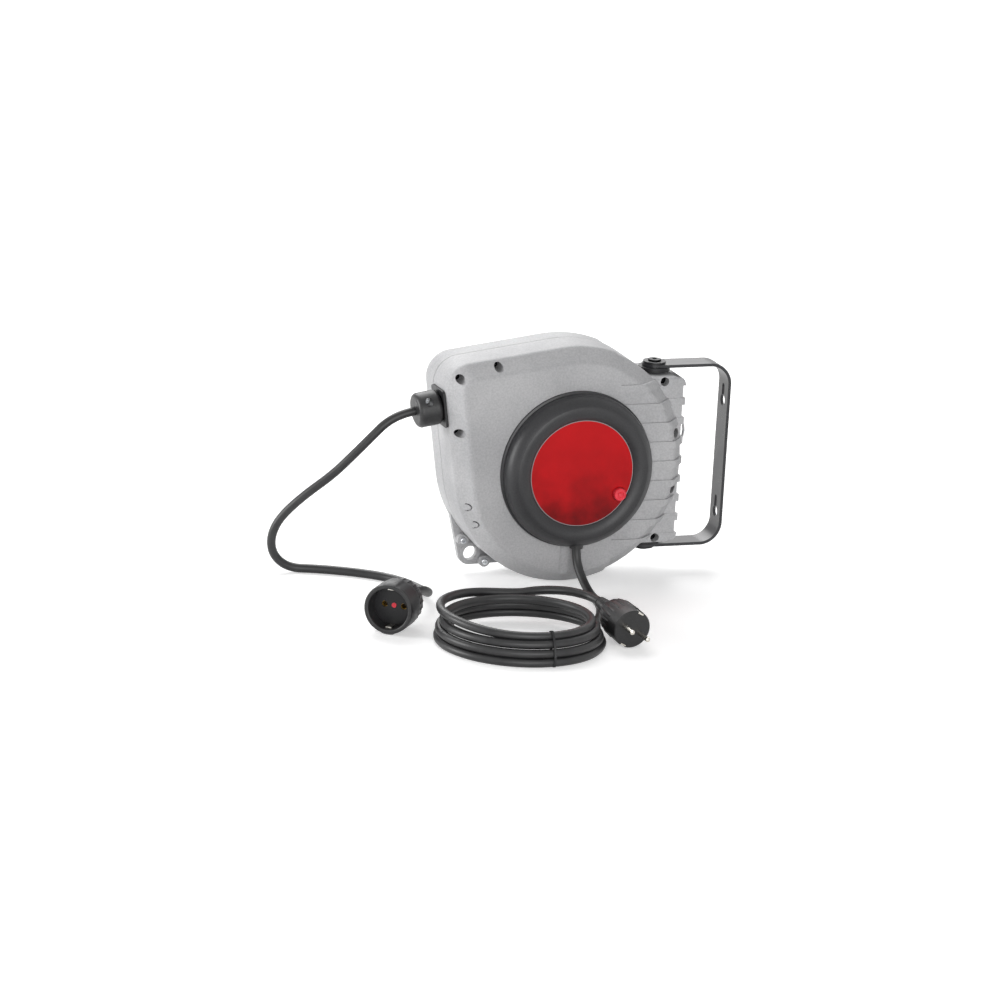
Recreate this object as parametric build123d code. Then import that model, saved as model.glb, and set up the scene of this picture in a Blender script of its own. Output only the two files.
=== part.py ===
"""Wall-mounted spring-retract extension cord reel, one STEP file for each piece, in millimetres.

The origin is the centre of the bracket's wall face. X points into the wall, Z points up, and the
front of the reel faces -Y. The drum turns about an axis parallel to Y, and the whole case swivels
in its bracket about an axis parallel to Z.
"""
from build123d import *
import os
from math import cos, pi, radians, sin, tan

os.makedirs("parts", exist_ok=True)

# ---- driving dimensions ----
DRUM_X = -169.0            # drum axis, measured from the wall
PIVOT_X = -77.0            # swivel axis, at Y = 0
CASE_R = 117.0             # round part of the case
LEFT_TANGENT = 189.5       # where the slanting left side leaves the round part, degrees
TOP_TANGENT = 97.7         # where the slanting top leaves it
CORNER_R = 26.0            # upper left corner
FACE_Y = -42.0             # front face of the case
SHOULDER_Y = -25.0         # foot of the bevel round the front face
PARTING_Y = 9.0            # joint between the two shells
BACK_Y = 37.0              # back face
BEVEL = 13.0               # width of the front bevel
BACK_ROUND = 9.0           # softened back edge
CREASE_EASE = 3.5          # softening of the edge between the front face and its bevel
SHOULDER_EASE = 2.5        # softening of the edge at the foot of the bevel
EASE_STEPS = 4
WALL = 2.5                 # shell wall
BLOCK_LEFT = 42.0          # from the drum axis to where the ribbed end begins
BLOCK_END = 114.0          # from the drum axis to the end face
BLOCK_HALF_Z = 84.0
BLOCK_CORNER_R = 11.0
RIB_PITCH = 19.25
RIB_HEIGHT = 7.0
RIB_PROUD = 1.5            # rib above the face
RIB_END_PROUD = 2.5        # rib beyond the end face
CORD_R = 4.25
FLOOR_Z = -CASE_R          # lowest level, on which the free cords lie

STRIP_WIDTH = 24.0         # bracket strip
STRIP_THICK = 3.0
ARM_INNER_Z = 88.0
BEND_R = 22.0
KEYHOLE_Z = (51.0, -61.0)
KEYHOLE_R = 5.5
KEYHOLE_SLOT = 5.5
KEYHOLE_RISE = 14.0
PIVOT_R = 4.0
RUN = 0.05                 # running clearance on a radius

LABEL_Y = -60.0            # front of the cover disc
RING_R = 75.0
DISC_R = 52.4
BUTTON_X = 39.5            # reset button, from the drum axis
BUTTON_Z = -22.0
BUTTON_R = 6.2

OUTLET_Y = -8.0            # cord outlet, half way along the drum
OUTLET_Z = 58.0
DRUM_FRONT_Y = -34.0       # outer faces of the two drum flanges
DRUM_REAR_Y = 14.0
FLANGE_R = 100.0
FLANGE_THICK = 2.0
HUB_R = 35.0
PACK_R = 73.6              # cord wound on the drum
SHAFT_R = 6.0
TEETH = 12
RATCHET_R = 62.0
RATCHET_ROOT_R = 54.0
SPRING_CASE_R = 72.0

LONG_SCREW_PLACES = ((-119.5, 90), (-81.5, 100.5), (-117.5, 37), (106.5, 28), (106.5, -28))
SHORT_SCREW_PLACES = ((94, 78), (94, -78))
CRESCENT_PLACES = ((-105.4, -37.3), (-96.9, -55.0))
EYE_SCREW_PLACES = ((-90.4, -83), (-67, -105))


def across_drum(y, x=DRUM_X, z=0.0):
    """Sketch plane square to the drum axis; a positive extrusion runs to the front."""
    return Plane(origin=(x, y, z), x_dir=(1, 0, 0), z_dir=(0, -1, 0))


def bar_y(radius, y_front, y_rear, x=DRUM_X, z=0.0):
    """Round bar along Y."""
    return extrude(across_drum(y_rear, x, z) * Circle(radius), amount=y_rear - y_front)


def tube_y(outer, inner, y_front, y_rear, x=DRUM_X, z=0.0):
    """Round tube along Y."""
    section = Circle(outer) - Circle(inner)
    return extrude(across_drum(y_rear, x, z) * section, amount=y_rear - y_front)


def bar_z(radius, z_low, z_high, x=PIVOT_X, y=0.0):
    """Round bar along Z."""
    return Pos(x, y, z_low) * Cylinder(radius, z_high - z_low, align=(Align.CENTER, Align.CENTER, Align.MIN))


def block(x_range, y_range, z_range):
    """Box between three pairs of limits."""
    size = [high - low for low, high in (x_range, y_range, z_range)]
    return Pos(x_range[0], y_range[0], z_range[0]) * Box(*size, align=(Align.MIN, Align.MIN, Align.MIN))


def on_circle(radius, angle):
    """Point of a circle about the origin, the angle in degrees."""
    return Vector(radius * cos(radians(angle)), radius * sin(radians(angle)))


def screw_y(x, z, head_y, length, head_r=3.6, head_height=3.0, shank_r=2.0):
    """Pan-head screw with a cross slot, its head towards the front."""
    head = fillet(bar_y(head_r, head_y, head_y + head_height, x, z).edges().group_by(Axis.Y)[0], 1.0)
    arm = head_r * 0.6
    slot = block((x - arm, x + arm), (head_y - 1, head_y + 1.4), (z - 0.5, z + 0.5))
    slot += block((x - 0.5, x + 0.5), (head_y - 1, head_y + 1.4), (z - arm, z + arm))
    return head + bar_y(shank_r, head_y + head_height, head_y + head_height + length, x, z) - slot


def save(name, shape):
    """Write one piece."""
    export_step(shape, f"parts/{name}.step")


def save_group(name, shapes):
    """Write several separate solids as one piece."""
    save(name, Compound(children=[solid for shape in shapes for solid in shape.solids()]))


# ---- case: a round body with one squared corner and a ribbed end block ----
TANGENT_MID = (LEFT_TANGENT + TOP_TANGENT) / 2
TANGENT_HALF = radians(LEFT_TANGENT - TOP_TANGENT) / 2


def case_outline(y, inset=0.0):
    """Outline face of the case at one Y, drawn in by an inset all round."""
    radius = CASE_R - inset
    corner = CORNER_R - inset
    centre = on_circle((radius - corner) / cos(TANGENT_HALF), TANGENT_MID)
    left, top = on_circle(radius, LEFT_TANGENT), on_circle(radius, TOP_TANGENT)
    corner_left = centre + on_circle(corner, LEFT_TANGENT)
    corner_top = centre + on_circle(corner, TOP_TANGENT)
    wire = Wire([
        Edge.make_line(left, corner_left),
        Edge.make_three_point_arc(corner_left, centre + on_circle(corner, TANGENT_MID), corner_top),
        Edge.make_line(corner_top, top),
        Edge.make_three_point_arc(top, on_circle(radius, TANGENT_MID - 180), left),
    ])
    return across_drum(y) * make_face(wire)


def eased(start, corner, end, reach_in, reach_out):
    """Points of a rounded corner of the case's profile, between two straight stretches."""
    a = corner + (start - corner).normalized() * reach_in
    b = corner + (end - corner).normalized() * reach_out
    steps = [n / EASE_STEPS for n in range(EASE_STEPS + 1)]
    return [a * (1 - t) ** 2 + corner * (2 * t * (1 - t)) + b * t ** 2 for t in steps]


def case_body(inset, face_y, end_x, back_y):
    """Solid body of the case: bevelled front, straight barrel, softened back, and the end block."""
    shoulder_y = SHOULDER_Y + inset * 0.4
    face, shoulder = Vector(face_y, BEVEL), Vector(shoulder_y, 0)
    face_middle, rim = Vector(face_y, BEVEL + 10), Vector(back_y, 0)
    back_middle = Vector(back_y, BACK_ROUND + 5)
    profile = eased(face_middle, face, shoulder, CREASE_EASE, CREASE_EASE)
    profile += eased(face, shoulder, rim, SHOULDER_EASE, SHOULDER_EASE)
    profile += eased(shoulder, rim, back_middle, BACK_ROUND, BACK_ROUND)
    case = loft([case_outline(point.X, inset + point.Y) for point in profile], ruled=True)
    half_z = BLOCK_HALF_Z - inset
    end_face = Pos((BLOCK_LEFT + end_x) / 2, 0) * Rectangle(end_x - BLOCK_LEFT, 2 * half_z)
    right_corners = end_face.vertices().group_by(Axis.X)[-1]
    end_face = fillet(right_corners, BLOCK_CORNER_R)
    end_block = extrude(across_drum(back_y) * end_face, amount=back_y - shoulder_y)
    end_block = chamfer(end_block.edges().group_by(Axis.Y)[-1], BACK_ROUND * 0.6)
    limit = block((DRUM_X - 200, DRUM_X + end_x), (face_y - 1, back_y + 1), (-200, 200))
    return (case + end_block) & limit


ribbed_side = block((DRUM_X + BLOCK_LEFT, 0), (-100, 100), (-150, 150))
ribs = []
for n in range(-4, 5):
    rib_z = n * RIB_PITCH
    ribs.append(block((DRUM_X + BLOCK_LEFT, 0), (-100, 100), (rib_z - RIB_HEIGHT / 2, rib_z + RIB_HEIGHT / 2)))
proud_body = case_body(0, FACE_Y, BLOCK_END + RIB_END_PROUD, BACK_Y)
plain_body = case_body(RIB_PROUD, FACE_Y + RIB_PROUD, BLOCK_END, BACK_Y)
case_solid = (proud_body - ribbed_side) + plain_body + (proud_body & (Part() + ribs))
cavity = case_body(RIB_PROUD + WALL, FACE_Y + RIB_PROUD + WALL, BLOCK_END - WALL, BACK_Y - WALL)

# room for the round spacer washers of the swivel
for side in (1, -1):
    low, high = sorted((side * BLOCK_HALF_Z, side * (CASE_R + 5)))
    case_solid -= bar_z(16.2, low, high)

# fine groove along the joint of the two shells
groove = extrude(case_outline(PARTING_Y + 0.4, -1), amount=0.8)
groove -= extrude(case_outline(PARTING_Y + 0.4, 0.7), amount=0.8)
case_solid -= groove - ribbed_side

BOSS_R = 6.0
HOLE_R = 4.4
LONG_SEAT_Y = -17.0
SHORT_SEAT_Y = -15.0
LONG_SCREW = 38.0
SHORT_SCREW = 8.5
SCREW_HEAD = 3.0
hollow = cavity
for u, v in LONG_SCREW_PLACES:
    hollow -= bar_y(BOSS_R, -60, 60, DRUM_X + u, v)
for u, v in SHORT_SCREW_PLACES:
    hollow -= bar_y(BOSS_R, -60, -5, DRUM_X + u, v)
PIVOT_BOSS_R = 8.9         # stays inside the front shell
PIVOT_BOSS_LOW = 66.0
for side in (1, -1):
    low, high = sorted((side * PIVOT_BOSS_LOW, side * 100.0))
    hollow -= bar_z(PIVOT_BOSS_R, low, high)
shells = case_solid - hollow

OPENING_R = 27.0           # hole in the front face for the slip rings
SCREW_R = 2.2
for u, v in LONG_SCREW_PLACES:
    shells -= bar_y(HOLE_R, -60, LONG_SEAT_Y, DRUM_X + u, v)
    shells -= bar_y(SCREW_R, LONG_SEAT_Y, LONG_SEAT_Y + LONG_SCREW + 1, DRUM_X + u, v)
for u, v in SHORT_SCREW_PLACES:
    shells -= bar_y(HOLE_R, -60, SHORT_SEAT_Y, DRUM_X + u, v)
    shells -= bar_y(SCREW_R, SHORT_SEAT_Y, SHORT_SEAT_Y + SHORT_SCREW + 0.5, DRUM_X + u, v)
for u, v in CRESCENT_PLACES:
    rim = tube_y(4.2, 3.0, -60, SHOULDER_Y - 4.5, DRUM_X + u, v)
    shells -= rim - block((DRUM_X + u - 10, DRUM_X + u - 1.5), (-70, 0), (v - 10, v + 10))
for side in (1, -1):
    low, high = sorted((side * (PIVOT_BOSS_LOW - 4), side * 100.0))
    shells -= bar_z(PIVOT_R + RUN, low, high)
shells -= bar_y(OPENING_R, -50, -30)

# half-round channel down the face below the ring
CHANNEL_R = 7.0
shells -= bar_z(CHANNEL_R, -CASE_R, -70, DRUM_X - 6, FACE_Y - CHANNEL_R + 1.8)

# cord outlet: a local frame square to the slanting left side
OUTLET_TILT = LEFT_TANGENT - 180
outward = Vector(-cos(radians(OUTLET_TILT)), 0, -sin(radians(OUTLET_TILT)))
upward = Vector(-sin(radians(OUTLET_TILT)), 0, cos(radians(OUTLET_TILT)))
wall_u = -(CASE_R + OUTLET_Z * sin(radians(OUTLET_TILT))) / cos(radians(OUTLET_TILT))
outlet_origin = Vector(DRUM_X + wall_u, OUTLET_Y, OUTLET_Z)
outlet = Location(Plane(origin=outlet_origin, x_dir=outward, z_dir=upward))
MOUTH_Y = 30.0
MOUTH_Z = 34.0
shells -= outlet * Box(12, MOUTH_Y, MOUTH_Z)

SHAFT_SEAT_R = 5.0
shells -= bar_y(SHAFT_SEAT_R + 0.1, BACK_Y - 8, BACK_Y + 1)
front_limit = block((-400, 50), (-100, PARTING_Y), (-200, 200))
rear_limit = block((-400, 50), (PARTING_Y, 100), (-200, 200))
save("front_shell", shells & front_limit)
save("rear_shell", shells & rear_limit)
case_screws = [screw_y(DRUM_X + u, v, LONG_SEAT_Y - SCREW_HEAD, LONG_SCREW, shank_r=SCREW_R)
               for u, v in LONG_SCREW_PLACES]
case_screws += [screw_y(DRUM_X + u, v, SHORT_SEAT_Y - SCREW_HEAD, SHORT_SCREW, shank_r=SCREW_R)
                for u, v in SHORT_SCREW_PLACES]
save_group("case_screws", case_screws)

# ---- anchor eye, a lug clamped between the shells at the lower left ----
EYE_Y = (10.5, 24.0)
EYE_HOLE = (-80.0, -97.5)
EYE_HOLE_R = 7.0
EYE_OUTER_R = 12.0
EYE_PLATE = 6.0            # thickness of the lug's plate
EYE_BOSS = 7.5             # thickness round its hole
left_top, bottom_right = Vector(-102.5, -57.0), Vector(-45.7, -108.5)
eye_centre = Vector(*EYE_HOLE)
arc_start, arc_mid, arc_end = [eye_centre + on_circle(EYE_OUTER_R, angle) for angle in (191, 228, 262)]
lug = make_face(Wire([
    Edge.make_line(left_top, arc_start),
    Edge.make_three_point_arc(arc_start, arc_mid, arc_end),
    Edge.make_line(arc_end, bottom_right),
    Edge.make_line(bottom_right, left_top),
]))
eye = extrude(across_drum(EYE_Y[1]) * lug, amount=EYE_PLATE)
for u, v in EYE_SCREW_PLACES:
    eye += bar_y(5.4, EYE_Y[0], EYE_Y[1], DRUM_X + u, v)
eye += bar_y(EYE_OUTER_R - 1.5, EYE_Y[1] - EYE_BOSS, EYE_Y[1], DRUM_X + EYE_HOLE[0], EYE_HOLE[1])
eye -= bar_y(CASE_R + 0.1, 0, 50)
eye -= bar_y(EYE_HOLE_R, 0, 50, DRUM_X + EYE_HOLE[0], EYE_HOLE[1])
for u, v in EYE_SCREW_PLACES:
    eye -= bar_y(1.8, 0, 50, DRUM_X + u, v)
save("anchor_eye", eye)
eye_screws = [screw_y(DRUM_X + u, v, EYE_Y[0] - 2.2, 12, head_r=3.1, head_height=2.2, shank_r=1.75)
              for u, v in EYE_SCREW_PLACES]
save_group("anchor_eye_screws", eye_screws)

# ---- bracket ----
leg_height = 2 * (ARM_INNER_Z + STRIP_THICK)
side_view = Pos(-100, 0) * Rectangle(200, leg_height)
side_view = fillet(side_view.vertices().group_by(Axis.X)[-1], BEND_R)
inner_view = Pos(-100 - STRIP_THICK, 0) * Rectangle(200, leg_height - 2 * STRIP_THICK)
inner_view = fillet(inner_view.vertices().group_by(Axis.X)[-1], BEND_R - STRIP_THICK)
strip = extrude(Plane.XZ * (side_view - inner_view), amount=STRIP_WIDTH / 2, both=True)
plan = Pos(PIVOT_X / 2, 0) * Rectangle(-PIVOT_X, STRIP_WIDTH) + Pos(PIVOT_X, 0) * Circle(STRIP_WIDTH / 2)
bracket = strip & (Pos(0, 0, -100) * extrude(plan, amount=200))
for z in KEYHOLE_Z:
    bulb = Pos(-5, 0, z) * Rot(0, 90, 0) * Cylinder(KEYHOLE_R, 20)
    slot_end = Pos(-5, 0, z + KEYHOLE_RISE) * Rot(0, 90, 0) * Cylinder(KEYHOLE_SLOT / 2, 20)
    neck = block((-15, 5), (-KEYHOLE_SLOT / 2, KEYHOLE_SLOT / 2), (z, z + KEYHOLE_RISE))
    bracket -= bulb + slot_end + neck
bracket -= bar_z(PIVOT_R + 0.02, -100, 100)
save("wall_bracket", bracket)

ARM_OUTER_Z = ARM_INNER_Z + STRIP_THICK
CAP_THICK = 2.0
BOLT_HEAD = 1.8
bolts, caps, spacers = [], [], []
for side in (1, -1):
    low, high = sorted((side * 70.0, side * (ARM_OUTER_Z + CAP_THICK)))
    shank = bar_z(PIVOT_R, low, high)
    low, high = sorted((side * (ARM_OUTER_Z + CAP_THICK), side * (ARM_OUTER_Z + CAP_THICK + BOLT_HEAD)))
    head = fillet(bar_z(6.5, low, high).edges().sort_by(Axis.Z)[-1 if side > 0 else 0], 0.8)
    socket_z = side * (ARM_OUTER_Z + CAP_THICK + BOLT_HEAD)
    socket = Pos(PIVOT_X, 0, socket_z) * extrude(RegularPolygon(2.6, 6), amount=1.5, both=True)
    bolts.append(shank + head - socket)
    low, high = sorted((side * ARM_OUTER_Z, side * (ARM_OUTER_Z + CAP_THICK)))
    caps.append(bar_z(11.0, low, high) - bar_z(PIVOT_R + 0.02, low - 1, high + 1))
    low, high = sorted((side * (BLOCK_HALF_Z + 0.35), side * ARM_INNER_Z))
    spacers.append(bar_z(15.4, low, high) - bar_z(PIVOT_R + 0.02, low - 1, high + 1))
save_group("pivot_bolts", bolts)
save_group("pivot_cap_washers", caps)
save_group("pivot_spacer_washers", spacers)

# ---- ring cover, cover disc, cut-out and reset button ----
RIM_INNER_R = 49.0
ring_face = make_face(Wire([
    Edge.make_line((77, FACE_Y), (77, FACE_Y - 2.6)),
    Edge.make_line((77, FACE_Y - 2.6), (RING_R, FACE_Y - 3.2)),
    Edge.make_three_point_arc((RING_R, FACE_Y - 3.2), (73.4, -56.5), (66.2, -63.6)),
    Edge.make_three_point_arc((66.2, -63.6), (59.5, -63.8), (52.9, LABEL_Y - 0.4)),
    Edge.make_line((52.9, LABEL_Y - 0.4), (52.9, LABEL_Y + 2.6)),
    Edge.make_line((52.9, LABEL_Y + 2.6), (RIM_INNER_R, LABEL_Y + 2.6)),
    Edge.make_line((RIM_INNER_R, LABEL_Y + 2.6), (RIM_INNER_R, LABEL_Y + 4.8)),
    Edge.make_line((RIM_INNER_R, LABEL_Y + 4.8), (58, LABEL_Y + 3.2)),
    Edge.make_three_point_arc((58, LABEL_Y + 3.2), (69.5, -55.5), (72.2, FACE_Y)),
    Edge.make_line((72.2, FACE_Y), (77, FACE_Y)),
]))
ring = Pos(DRUM_X, 0, 0) * revolve(ring_face, Axis.Y, 360)
GLAND_X, GLAND_Y, GLAND_R = DRUM_X + 2.0, -52.0, 6.5
GLAND_Z = (-76.5, -60.0)
ring -= bar_z(GLAND_R, -90, GLAND_Z[1], GLAND_X, GLAND_Y)
button_x = DRUM_X + BUTTON_X
ring -= bar_y(BUTTON_R + 0.5, LABEL_Y + 2, LABEL_Y + 6, button_x, BUTTON_Z)
save("ring_cover", ring)
disc = bar_y(DISC_R, LABEL_Y, LABEL_Y + 2.5) - bar_y(BUTTON_R + 0.5, -70, -50, button_x, BUTTON_Z)
save("cover_disc", disc)
cap_front = LABEL_Y - 4.5
button = fillet(bar_y(BUTTON_R, cap_front, LABEL_Y + 1.2, button_x, BUTTON_Z).edges().group_by(Axis.Y)[0], 1.6)
button -= bar_y(3.2, cap_front - 1, cap_front + 0.8, button_x, BUTTON_Z)
button += bar_y(3.0, LABEL_Y + 1.2, LABEL_Y + 9, button_x, BUTTON_Z)
save("reset_button", button)
SWITCH_FRONT = LABEL_Y + 5.0
switch = block((button_x - 8, button_x + 8), (SWITCH_FRONT, FACE_Y - 0.4), (BUTTON_Z - 7, BUTTON_Z + 7))
switch -= bar_y(3.5, SWITCH_FRONT - 1, SWITCH_FRONT + 9, button_x, BUTTON_Z)
for offset in (-4, 4):
    switch += block((button_x + offset - 0.4, button_x + offset + 0.4), (SWITCH_FRONT + 4, SWITCH_FRONT + 9),
                    (BUTTON_Z + 7, BUTTON_Z + 12))
save("cutout_switch", switch)
gland = bar_z(GLAND_R, *GLAND_Z, GLAND_X, GLAND_Y) - bar_z(CORD_R, -80, -50, GLAND_X, GLAND_Y)
save("supply_gland", gland)

# ---- fixed shaft with its bridge, nut and brush gear ----
BRIDGE_Y = (-56.6, -54.6)
BRIDGE_POST_U = 34.0
shaft = bar_y(SHAFT_R, -50, BACK_Y - WALL - 3) + bar_y(12, BACK_Y - WALL - 3, BACK_Y - WALL - 0.1)
shaft += bar_y(SHAFT_SEAT_R, BACK_Y - WALL - 0.2, BACK_Y + 9) + bar_y(4.0, BRIDGE_Y[0], -50)
save("drum_shaft", shaft)
nut = extrude(across_drum(BACK_Y + 6.0) * RegularPolygon(8.5, 6), amount=5) + bar_y(11, BACK_Y, BACK_Y + 1.5)
save("shaft_nut", nut - bar_y(SHAFT_SEAT_R, BACK_Y - 5, BACK_Y + 20))
bridge = block((DRUM_X - 40, DRUM_X + 40), BRIDGE_Y, (-7, 7))
for side in (1, -1):
    post_x = DRUM_X + side * BRIDGE_POST_U
    bridge += bar_y(4.0, BRIDGE_Y[1], FACE_Y - 0.1, post_x) - bar_y(1.6, -70, -30, post_x)
    bridge -= bar_y(1.6, -70, -30, post_x)
save("shaft_bridge", bridge - bar_y(4.0, -70, -30))
SLIP_YS = (-51.0, -46.5, -42.0)
SLIP_R = 17.0
CARRIER_R = 15.0
carrier = tube_y(CARRIER_R, 8.0, -53.5, DRUM_FRONT_Y)
for y in (-53.5, -49.1, -44.6, -40.1):
    carrier += tube_y(SLIP_R + 1.5, 8.0, y, y + 0.9)
save("slip_ring_carrier", carrier)
save_group("slip_rings", [tube_y(SLIP_R, CARRIER_R, y - 1.2, y + 1.2) for y in SLIP_YS])
holder = block((DRUM_X - 7, DRUM_X + 7), (-53.5, FACE_Y - 0.1), (-32, -21))
holder += block((DRUM_X - 14, DRUM_X + 14), (FACE_Y - 2.1, FACE_Y - 0.1), (-36, -29))
brush_slots = [block((DRUM_X - 3, DRUM_X + 3), (y - 1.2, y + 1.2), (-29, -SLIP_R - 0.4)) for y in SLIP_YS[:2]]
for slot in brush_slots:
    holder -= slot
save("brush_holder", holder)
save_group("brushes", brush_slots)

# ---- drum with its spring, turning on the shaft ----
hub_front, hub_rear = DRUM_FRONT_Y + FLANGE_THICK, DRUM_REAR_Y - FLANGE_THICK
BUSH_R = 9.0
front_flange = bar_y(FLANGE_R, DRUM_FRONT_Y, hub_front) + tube_y(14, BUSH_R, hub_front, hub_front + 10)
front_flange -= bar_y(BUSH_R, -50, 50)
rear_flange = bar_y(FLANGE_R, hub_rear, DRUM_REAR_Y) + tube_y(14, BUSH_R, hub_rear - 10, hub_rear)
rear_flange -= bar_y(BUSH_R, -50, 50)
WINDOWS, WINDOW_R, WINDOW_AT_R = 6, 7.0, 86.0
for n in range(WINDOWS):
    spot = on_circle(WINDOW_AT_R, 360 / WINDOWS * (n + 0.5))
    window = bar_y(WINDOW_R, -50, 50, DRUM_X + spot.X, spot.Y)
    front_flange -= window
    rear_flange -= window
save("drum_front_flange", front_flange)
save("drum_rear_flange", rear_flange)
save("drum_hub", tube_y(HUB_R, HUB_R - 3, hub_front, hub_rear))
save_group("drum_bushes", [tube_y(BUSH_R, SHAFT_R + RUN, DRUM_FRONT_Y, hub_front + 10),
                           tube_y(BUSH_R, SHAFT_R + RUN, hub_rear - 10, DRUM_REAR_Y)])
save("wound_cord", tube_y(PACK_R, HUB_R, hub_front, hub_rear))
CASE_DEPTH = 14.5
case_rear = DRUM_REAR_Y + CASE_DEPTH
spring_case = tube_y(SPRING_CASE_R, SPRING_CASE_R - 2, DRUM_REAR_Y, case_rear)
spring_case += tube_y(SPRING_CASE_R + 4, SPRING_CASE_R - 2, DRUM_REAR_Y, DRUM_REAR_Y + 1.5)
save("spring_case", spring_case)
save("spring_case_lid", tube_y(SPRING_CASE_R, 14, case_rear, case_rear + 1.5))
SPRING_TURNS = 9
SPRING_IN, SPRING_OUT = 16.0, 68.0
STEPS = 16
spiral_steps = range(SPRING_TURNS * STEPS + 1)


def spiral(offset):
    """Edge of the coiled band, moved out by an offset."""
    points = []
    for n in spiral_steps:
        radius = SPRING_IN + (SPRING_OUT - SPRING_IN) * n / (SPRING_TURNS * STEPS) + offset
        points.append(on_circle(radius, 360 * n / STEPS))
    return Edge.make_spline(points)


inner_edge, outer_edge = spiral(0), spiral(1.0)
band = make_face(Wire([inner_edge, Edge.make_line(inner_edge @ 1, outer_edge @ 1), outer_edge,
                       Edge.make_line(inner_edge @ 0, outer_edge @ 0)]))
save("main_spring", extrude(across_drum(case_rear - 1.5) * band, amount=CASE_DEPTH - 3))

# ---- ratchet ring and pawl ----
step = 360 / TEETH
teeth = []
for n in range(TEETH):
    teeth.append(on_circle(RATCHET_R, n * step))
    teeth.append(on_circle(RATCHET_ROOT_R, n * step + 4))
ratchet = make_face(Polyline(*teeth, close=True)) - Circle(44)
save("ratchet_ring", extrude(across_drum(DRUM_FRONT_Y) * ratchet, amount=3))
PAWL_AT = on_circle(75, 232)
PAWL_TIP = on_circle(64.5, 255)
pawl_x, pawl_z = DRUM_X + PAWL_AT.X, PAWL_AT.Y
along = (PAWL_TIP - PAWL_AT).normalized()
square = Vector(-along.Y, along.X)
PAWL_Y = (-36.9, -34.4)
arm = make_face(Polyline(PAWL_AT + square * 4.5, PAWL_TIP + square * 1.2, PAWL_TIP - square * 1.2,
                         PAWL_AT - square * 4.5, close=True)) + Pos(PAWL_AT.X, PAWL_AT.Y) * Circle(5.5)
arm -= Pos(PAWL_AT.X, PAWL_AT.Y) * Circle(3.0 + RUN)
save("pawl", extrude(across_drum(PAWL_Y[1]) * arm, amount=PAWL_Y[1] - PAWL_Y[0]))
pin = bar_y(3.0, FACE_Y + 4.0, PAWL_Y[1] + 0.2, pawl_x, pawl_z)
save("pawl_pin", pin)

# ---- cord outlet: mouth frame, rollers, stopper ----
WINDOW_Y, WINDOW_Z = 20.0, 24.0
ROLLER_R = 5.0
ROLLER_GAP = CORD_R + 0.4 + ROLLER_R
ROLLER_DEPTH = -13.0
CHEEK_Z = 28.0
MOUTH_LIP = 1.5
flange_plate = Pos(1.3, 0, 0) * Box(2.4, MOUTH_Y + 2 * MOUTH_LIP, MOUTH_Z + 2 * MOUTH_LIP)
flange_plate = fillet(flange_plate.edges().filter_by(Axis.X), 4)
flange_plate -= Box(20, WINDOW_Y, WINDOW_Z)
cheeks = [Pos(-9.4, side * (WINDOW_Y / 2 + 1.5), 0) * Box(19, 3, CHEEK_Z) for side in (1, -1)]
mouth = flange_plate + cheeks
pins, rollers = [], []
for side in (1, -1):
    roller_at = Pos(ROLLER_DEPTH, 0, side * ROLLER_GAP) * Rot(90, 0, 0)
    mouth -= roller_at * Cylinder(1.5, WINDOW_Y + 10)
    pins.append(outlet * (roller_at * Cylinder(1.5, WINDOW_Y + 6)))
    roller = roller_at * (Cylinder(ROLLER_R, WINDOW_Y - 1) - Cylinder(1.5 + RUN, WINDOW_Y))
    rollers.append(outlet * roller)
save("outlet_mouth", outlet * mouth)
save_group("roller_pins", pins)
save("upper_roller", rollers[0])
save("lower_roller", rollers[1])

STOPPER_R = 17.0
STOPPER_LENGTH = 24.0
STOPPER_START = 2.8
STOPPER_END = STOPPER_START + STOPPER_LENGTH
body = Pos((STOPPER_START + STOPPER_END) / 2, 0, 0) * Rot(0, 90, 0) * Cylinder(STOPPER_R, STOPPER_LENGTH)
body = fillet(body.edges(), 4.5)
body -= Rot(0, 90, 0) * Cylinder(CORD_R, 100)
STOPPER_SCREWS = ((STOPPER_START + 13, 10.0, -1), (STOPPER_START + 13, -10.0, 1))
screws = []
for x, z, facing in STOPPER_SCREWS:
    facing_y = Pos(x, 0, z) * Rot(90 * facing, 0, 0)
    body -= facing_y * Pos(0, 0, 9) * Cylinder(3.6, 14)
    body -= facing_y * Cylinder(1.7, 24)
    head = Pos(0, 0, 4) * Cylinder(3.2, 3.6)
    head -= Pos(0, 0, 5.8) * (Box(4, 0.9, 1.6) + Box(0.9, 4, 1.6))
    screws.append(outlet * (facing_y * (head + Pos(0, 0, -4) * Cylinder(1.6, 13))))
near_half = block((-50, 50), (0.15, 50), (-50, 50))
far_half = block((-50, 50), (-50, -0.15), (-50, 50))
save("stopper_front_half", outlet * (body & near_half))
save("stopper_rear_half", outlet * (body & far_half))
save_group("stopper_screws", screws)


# ---- cords ----
def cord(route, label):
    """Cord along straight runs joined by arcs, each as large as its two runs allow."""
    points = [Vector(*point) for point in route]
    radii = []
    for before, here, after in zip(points, points[1:], points[2:]):
        turn = (here - before).get_angle(after - here)
        shorter = min((here - before).length, (after - here).length)
        radii.append(0.45 * shorter / tan(radians(turn) / 2))
    path = FilletPolyline(*points, radius=radii)
    solid = sweep(Plane(origin=path @ 0, z_dir=path % 0) * Circle(CORD_R), path=path)
    expected = pi * CORD_R ** 2 * path.length
    print(label, "length", round(path.length), "volume ratio", round(solid.volume / expected, 4))
    print("  radii", [round(radius) for radius in radii])
    return solid


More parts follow.
